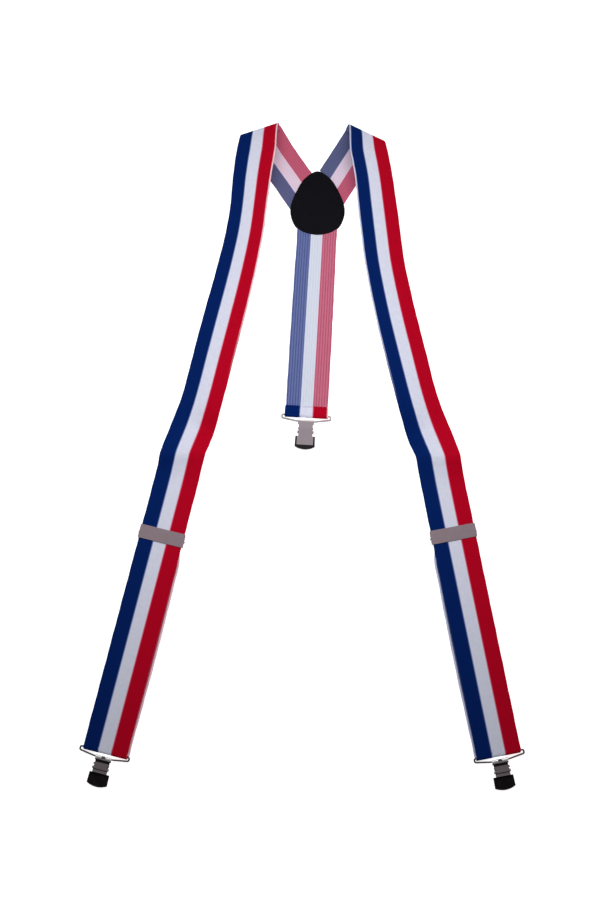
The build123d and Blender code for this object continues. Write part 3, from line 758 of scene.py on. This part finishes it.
def distance_outside_straps(x, y):
    """How far a place under the patch is from the nearest webbing, in millimetres."""
    found = [hypot(max(abs(x) - WEB_WIDTH / 2, 0), max(y - BACK_STRAP_TOP, 0))]
    for side in SIDES.values():
        angle = radians(side["run_angle"])
        offset = np.array((x, y)) - np.array(side["run_point"])
        found.append(abs(-sin(angle) * offset[0] + cos(angle) * offset[1]) - WEB_WIDTH / 2)
    return max(min(found), 0.0)


def settle(x, y):
    """How far the outer leather sinks where no webbing lies under it."""
    t = min(distance_outside_straps(x, y) / SINK_REACH, 1.0)
    return SINK * t * t * (3 - 2 * t)


def leather_leaf(name, base_z, face_up):
    """A patch of leather with rounded edges; the outer one sinks a little where no webbing holds it up."""
    top = base_z + LEATHER
    outline = patch_outline(0.0)
    inward = patch_outline(1.0) - outline
    centre = np.array(LEAF_CENTRE)
    vertices, rings = [], []

    def ring(inset, z, sinks):
        points = outline + inward * min(inset, LEAF_BAND)
        if inset > LEAF_BAND:
            points = points + (centre - points) * ((inset - LEAF_BAND) / LEAF_CENTRE_IN)
        rings.append(len(vertices))
        vertices.extend((x, y, z - settle(x, y) * sinks) for x, y in points)

    sinks = 1.0 if face_up else 0.0
    for inset, drop in LEAF_TOP:
        ring(inset, top - drop, sinks)
    for inset, drop in LEAF_BASE:
        ring(inset, base_z + drop, sinks)
    count = len(outline)
    faces = []
    for low, high in zip(rings, rings[1:]):
        for i in range(count):
            j = (i + 1) % count
            faces.append([low + i, low + j, high + j, high + i])
    faces.append([rings[0] + i for i in range(count)][::-1])
    faces.append([rings[-1] + i for i in range(count)])
    made = mesh_object(name, place(vertices), faces, [LEATHER_BLACK])
    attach(made, "back_and_shoulders")
    return made


def tube(points, radius, sides=8):
    """Vertices and faces of a round-ended tube through points; radius may be a list."""
    points = np.asarray(points, float)
    radii = np.full(len(points), radius) if np.isscalar(radius) else np.asarray(radius, float)
    along = np.gradient(points, axis=0)
    along /= np.linalg.norm(along, axis=1)[:, None]
    side = np.cross(along, UP + np.array((0.013, 0.007, 0)))
    side /= np.linalg.norm(side, axis=1)[:, None]
    up = np.cross(side, along)
    vertices, faces = [], []
    for p, s, u, r in zip(points, side, up, radii):
        for k in range(sides):
            angle = 2 * pi * k / sides
            vertices.append(p + (s * cos(angle) + u * sin(angle)) * r)
    for i in range(len(points) - 1):
        for k in range(sides):
            m = (k + 1) % sides
            faces.append([i * sides + k, i * sides + m, (i + 1) * sides + m, (i + 1) * sides + k])
    faces.append([k for k in range(sides)][::-1])
    faces.append([(len(points) - 1) * sides + k for k in range(sides)])
    return vertices, faces


def stitched(name, stitches, materials, body, slot_name, *nodes, chosen=None):
    """One piece from many tubes, each given as (points, radius); chosen gives each tube's material."""
    vertices, faces, slots = [], [], []
    for k, (points, radius) in enumerate(stitches):
        more, more_faces = tube(points, radius)
        start = len(vertices)
        vertices.extend(more)
        faces.extend([[start + i for i in face] for face in more_faces])
        slots.extend([chosen[k] if chosen else 0] * len(more_faces))
    made = mesh_object(name, place(vertices), faces, materials, slots)
    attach(made, body)
    if nodes:
        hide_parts(*nodes)
    return made


def stitch(start, end, radius=0.32, bow=0.22):
    """A short thread that rises from its needle holes and lies on the surface between them."""
    start, end = np.asarray(start, float), np.asarray(end, float)
    points, radii = [], []
    for t in np.linspace(0, 1, 9):
        dip = bow * (2 * t - 1) ** 4 * 2
        points.append(start + (end - start) * t - UP * dip)
        radii.append(radius * (0.45 + 0.55 * (1 - (2 * t - 1) ** 4)))
    return points, radii


def patch_thread():
    """One row of stitches all round the patch."""
    line = patch_outline(PATCH_STITCH_INSET, 420)
    steps = np.linalg.norm(np.roll(line, -1, axis=0) - line, axis=1)
    at = np.concatenate([[0], np.cumsum(steps)])
    pitch = at[-1] / PATCH_STITCHES
    closed = np.concatenate([line, line[:1]])

    def spot(s):
        s %= at[-1]
        x, y = np.interp(s, at, closed[:, 0]), np.interp(s, at, closed[:, 1])
        return np.array((x, y, 2 * LEATHER + WEB_THICK + 0.04 - settle(x, y)))

    starts = [i * pitch for i in range(PATCH_STITCHES)]
    made = [stitch(spot(start + 0.5), spot(start + pitch - 0.5), 0.25) for start in starts]
    stitched("patch_thread", made, [THREAD_BLACK], "back_and_shoulders", "thread", "patch_stitching")


def frayed_ends():
    """Loose thread ends at the patch's lower right edge."""
    rng = np.random.default_rng(7)
    ends = []
    for k in range(6):
        angle = radians(-38 + 7 * k)
        start = np.array((25.5 + 0.9 * k, -27.5 + 2.9 * k, 3.4))
        heading = np.array((cos(angle), sin(angle), 0.0))
        bend = np.array((-heading[1], heading[0], 0)) * rng.uniform(-1.2, 1.2)
        reach = rng.uniform(2.6, 4.6)
        points = []
        for t in np.linspace(0, 1, 9):
            drop = UP * (-1.4 * t * t + 0.5 * sin(pi * t))
            points.append(start + heading * (reach * t) + bend * t * t + drop)
        ends.append((points, np.linspace(0.2, 0.08, 9)))
    stitched("frayed_thread_ends", ends, [THREAD_BLACK], "back_and_shoulders", "thread")


def thread_for(u):
    """0, 1 or 2 for blue, white or red thread at u millimetres right of the strap's middle."""
    share = u / WEB_WIDTH + 0.5
    return int(share > STRIPES[0]) + int(share > STRIPES[1])


def stitch_row(middle, across, first, pitch, count, length, shape, left_to_right=1):
    """A row of stitches in the colours of the stripes they cross, and each one's material.

    Shape is a stitch's radius and bow; left_to_right is -1 where across points to the left.
    """
    places = [first + pitch * i for i in range(count)]
    made = [stitch(middle + across * u, middle + across * (u + length), *shape) for u in places]
    return made, [thread_for((u + 1.2) * left_to_right) for u in places]


def hem_thread():
    """Two rows of stitches across the hem, red on red, white on white and blue on blue."""
    up_strap = toward(BACK_BAR, BACK_FOLD)
    across = np.cross(up_strap, UP)
    top = BACK_BAR_Z - LOOP_R + 1.5 * WEB_THICK + 0.45
    made, chosen = [], []
    for from_end in (1.7, 3.9):
        middle = flat(BACK_BAR, top + 0.05) + up_strap * (HEM_LENGTH - from_end)
        row, row_chosen = stitch_row(middle, across, -22.5, 3.25, 14, 2.5, (0.2, 0.2))
        made += row
        chosen += row_chosen
    stitched("hem_thread", made, THREADS, "back_strap", "white_thread", "hem_stitching", chosen=chosen)


def end_thread(name, side):
    """Stitches that close the returning layer round the adjuster's end bar."""
    down = toward(side["crease"], side["bar"])
    across = np.cross(down, UP) * side["sign"]
    end = flat(side["crease"]) + down * (side["adjuster_below_crease"] - END_BAR_Y + 3.2)
    end += across * (RETURN_SHIFT / 2) + UP * (WEB_THICK + LIFT + 0.1)
    made, chosen = stitch_row(end, across, -20.8, 3.2, 13, 2.4, (0.24, 0.18), -side["sign"])
    node = f"{name}_end_stitching"
    stitched(f"{name}_end_thread", made, THREADS, f"{name}_adjuster", "white_thread", node, chosen=chosen)


# ---- hardware: the model's own parts with better materials -----------------------------------------------
def repaint(node, material):
    """Gives a CAD piece a better material; its shape stays as it is."""
    made = frame["nodes"][node]
    made.data.materials.clear()
    made.data.materials.append(material)


def paint_hardware():
    # the front bails' wire is painted darker than the same wire on the back bail, as painted shade and dark
    # reflection
    shaded_wire = metal("shaded_wire_nickel", srgb(92, 84, 86), 0.3)
    back_wire = metal("back_wire_nickel", srgb(158, 148, 151), 0.3)
    # painted highlight for the clips' curls, and painted shade for the gap between curl and lever
    painted_curl_highlight, shaded = srgb(250, 246, 246), srgb(40, 34, 37)
    # the back clip's plate is painted darker than the same nickel on the front clips, as painted shade
    # against the key light's reflection
    plain, shaded_back_plain = srgb(140, 130, 135), srgb(125, 116, 121)
    grey = metal("grey_nickel", srgb(150, 139, 144), 0.42)
    dark = metal("lever_steel", srgb(104, 97, 101), 0.4)
    brushed = metal("brushed_nickel", srgb(122, 108, 114), 0.5)
    plastic = moulded_plastic("black_boot", srgb(15, 11, 12))
    for clip in ("left", "right", "back"):
        repaint(f"{clip}_clip_bail", back_wire if clip == "back" else shaded_wire)
        swing = next(joint for joint in frame["joints"] if joint["name"] == f"{clip}_bail_swing")
        up_strap = np.cross(swing["axis"], UP)
        # the front clips get painted shade between curl and lever, the back clip none
        face, recess_shade, curl_end = (shaded_back_plain, shaded_back_plain, 0.007) if clip == "back" else (plain, shaded, 0.010)
        nickel = clip_metal(f"{clip}_clip_nickel", swing["pos_m"], up_strap, curl_end, painted_curl_highlight, face, recess_shade)
        repaint(f"{clip}_clip_base", nickel)
        repaint(f"{clip}_clip_pin", grey)
        repaint(f"{clip}_clip_lever", grey)
        repaint(f"{clip}_clip_boot", plastic)
    for name in SIDES:
        repaint(f"{name}_adjuster_plate", brushed)
        repaint(f"{name}_adjuster_lever", dark)
        repaint(f"{name}_adjuster_end_bar", dark)


# ---- floor, light and camera ------------------------------------------------------------------------------
FLOOR_SIZE = 60
FLOOR_Z = -0.0004  # just under the part, so that no two faces coincide


def floor():
    bpy.ops.mesh.primitive_plane_add(size=FLOOR_SIZE, location=(0, 0, FLOOR_Z))
    plane = bpy.context.object
    plane.name = "floor"
    n = Nodes("floor_white")
    n.finish((0.92, 0.92, 0.92, 1), 0.7, Specular_IOR_Level=0.1)
    n.shader.inputs["Emission Color"].default_value = (1, 1, 1, 1)
    n.shader.inputs["Emission Strength"].default_value = 0.85
    plane.data.materials.append(n.material)


def area_light(name, place_at, aim, size, power):
    data = bpy.data.lights.new(name, "AREA")
    data.shape = "RECTANGLE"
    data.size, data.size_y = size
    data.energy = power
    light = bpy.data.objects.new(name, data)
    light.location = place_at
    light.rotation_euler = (Vector(aim) - Vector(place_at)).to_track_quat("-Z", "Y").to_euler()
    bpy.context.scene.collection.objects.link(light)


def studio():
    """A low key light over the shoulders, which leaves the clips darker, and a weak fill from the front."""
    area_light("key", (0.0, 0.18, 0.62), (0.0, 0.12, 0.0), (0.9, 0.5), 4.28)
    area_light("fill", (0.5, -1.3, 1.8), (0.0, -0.1, 0.0), (1.6, 1.2), 0.8)
    world = bpy.context.scene.world or bpy.data.worlds.new("studio")
    bpy.context.scene.world = world
    world.use_nodes = True
    background = world.node_tree.nodes["Background"]
    background.inputs[0].default_value = (1, 1, 1, 1)
    background.inputs[1].default_value = 0.15
    bpy.context.scene.view_settings.view_transform = "Standard"


def camera():
    """Almost straight above, seen from the clips' end, through a 75 mm lens."""
    elevation, distance = radians(80), 2.168
    aim = MIDDLE + Vector((-0.0207, -0.2968, 0.0))
    data = bpy.data.cameras.new("camera")
    data.lens = 75
    data.sensor_width = 36
    made = bpy.data.objects.new("camera", data)
    made.location = aim + Vector((0, -cos(elevation), sin(elevation))) * distance
    made.rotation_euler = (pi / 2 - elevation, 0, 0)
    bpy.context.scene.collection.objects.link(made)
    bpy.context.scene.camera = made


OUTER = {side_name: webbing_outer(side_name) for side_name in SIDES}
BACK_INNER = webbing_inner(
    "webbing_inner_back",
    (srgb(115, 129, 180), srgb(224, 229, 244), srgb(213, 127, 152)),
    (srgb(71, 81, 137), srgb(210, 216, 232), srgb(181, 74, 102)),
)
# The long straps' inner face: the back strap's webbing painted darker and more purple, as painted shade.
SHADED_RUN_INNER = webbing_inner(
    "shaded_webbing_inner_run",
    (srgb(94, 100, 139), srgb(231, 212, 230), srgb(200, 99, 125)),
    (srgb(86, 92, 130), srgb(222, 203, 220), srgb(188, 85, 111)),
)
# The returning layer's inner face: painted darker still, as painted shade from the layer over it.
SHADED_RETURN_INNER = webbing_inner(
    "shaded_webbing_inner_return",
    (srgb(91, 96, 134), srgb(222, 202, 218), srgb(188, 93, 116)),
    (srgb(83, 88, 125), srgb(213, 193, 208), srgb(177, 80, 103)),
    pale_edge=1.0,
)
LEATHER_BLACK = leather("black_leather", srgb(13, 11, 23))
THREAD_BLACK = thread("black_thread", srgb(14, 13, 20))
THREADS = [
    thread("blue_thread", srgb(8, 34, 88)),
    thread("white_thread", srgb(206, 205, 218)),
    thread("red_thread", srgb(160, 10, 38)),
]

for side_name, side_values in SIDES.items():
    long_strap(side_name, side_values)
    end_thread(side_name, side_values)
back_strap()
front_leaf = leather_leaf("patch_outer_leather", LEATHER + WEB_THICK, True)
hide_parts("patch_front")
back_leaf = leather_leaf("patch_inner_leather", 0.0, False)
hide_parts("patch_back")
patch_thread()
frayed_ends()
hem_thread()
paint_hardware()
floor()
studio()
camera()
